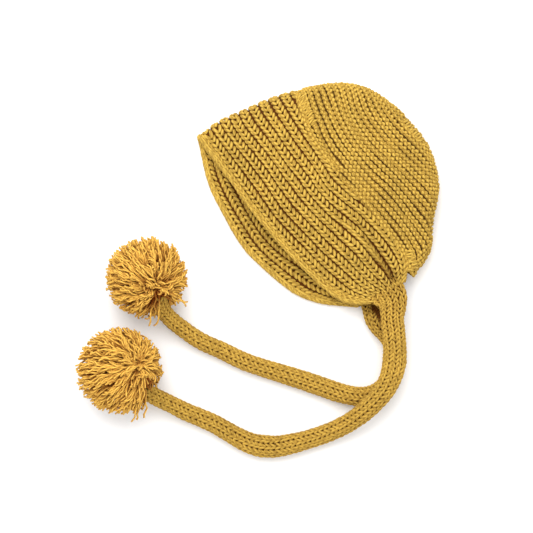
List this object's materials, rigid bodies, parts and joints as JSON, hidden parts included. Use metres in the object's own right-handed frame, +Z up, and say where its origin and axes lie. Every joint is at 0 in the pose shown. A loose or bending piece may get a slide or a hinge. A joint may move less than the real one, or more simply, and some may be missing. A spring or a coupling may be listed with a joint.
{
  "type": "knitted bonnet",
  "caption": "Knitted child's bonnet with a ribbed face band and a ridged crown, folded flat on its side, with long knitted tube ties that end in yarn pompoms.",
  "frame": {"origin": "centre of the hat's footprint, at the surface it lies on, without the ties and pompoms", "axes": "+Z up, towards the left side of the hat, which lies uppermost; -Y out of the face opening; -X towards the top of the head, +X towards nape and chin"},
  "size_m": [0.2822, 0.3717, 0.0619],
  "materials": {
    "band_knit": "matt chunky yarn in rib",
    "crown_knit": "matt chunky yarn in ridges",
    "tie_knit": "matt chunky yarn in a tube",
    "pompom_strands": "loose cut yarn",
    "sewing_yarn": "twisted yarn"
  },
  "bodies": {
    "hat": {"ribbed_band": "band_knit", "crown_panel": "crown_knit", "crown_seam_yarn": "sewing_yarn", "tie_cuff_left": "band_knit", "tie_cuff_right": "band_knit", "root_yarn_left": "sewing_yarn", "root_yarn_right": "sewing_yarn"},
    "left_tie": {"tie_left": "tie_knit"},
    "right_tie": {"tie_right": "tie_knit"},
    "left_pompom": {"pompom_left": "pompom_strands", "pompom_binding_left": "sewing_yarn", "pompom_anchor_left": "sewing_yarn"},
    "right_pompom": {"pompom_right": "pompom_strands", "pompom_binding_right": "sewing_yarn", "pompom_anchor_right": "sewing_yarn"}
  },
  "joints": [
    {"name": "left_tie_swing", "type": "hinge", "parent": "hat", "child": "left_tie", "pos_m": [0.121, -0.0335, 0.024], "axis": [0, 0, 1], "range_deg": [0, 25]},
    {"name": "right_tie_swing", "type": "hinge", "parent": "hat", "child": "right_tie", "pos_m": [0.116, -0.0475, 0.0078], "axis": [0, 0, 1], "range_deg": [-10, 0]},
    {"name": "left_pompom_swing", "type": "hinge", "parent": "left_tie", "child": "left_pompom", "pos_m": [0.041, -0.2335, 0.017], "axis": [0, 0, 1], "range_deg": [-4, 30]},
    {"name": "right_pompom_swing", "type": "hinge", "parent": "right_tie", "child": "right_pompom", "pos_m": [-0.006, -0.1805, 0.0155], "axis": [0, 0, 1], "range_deg": [-25, 4]}
  ]
}
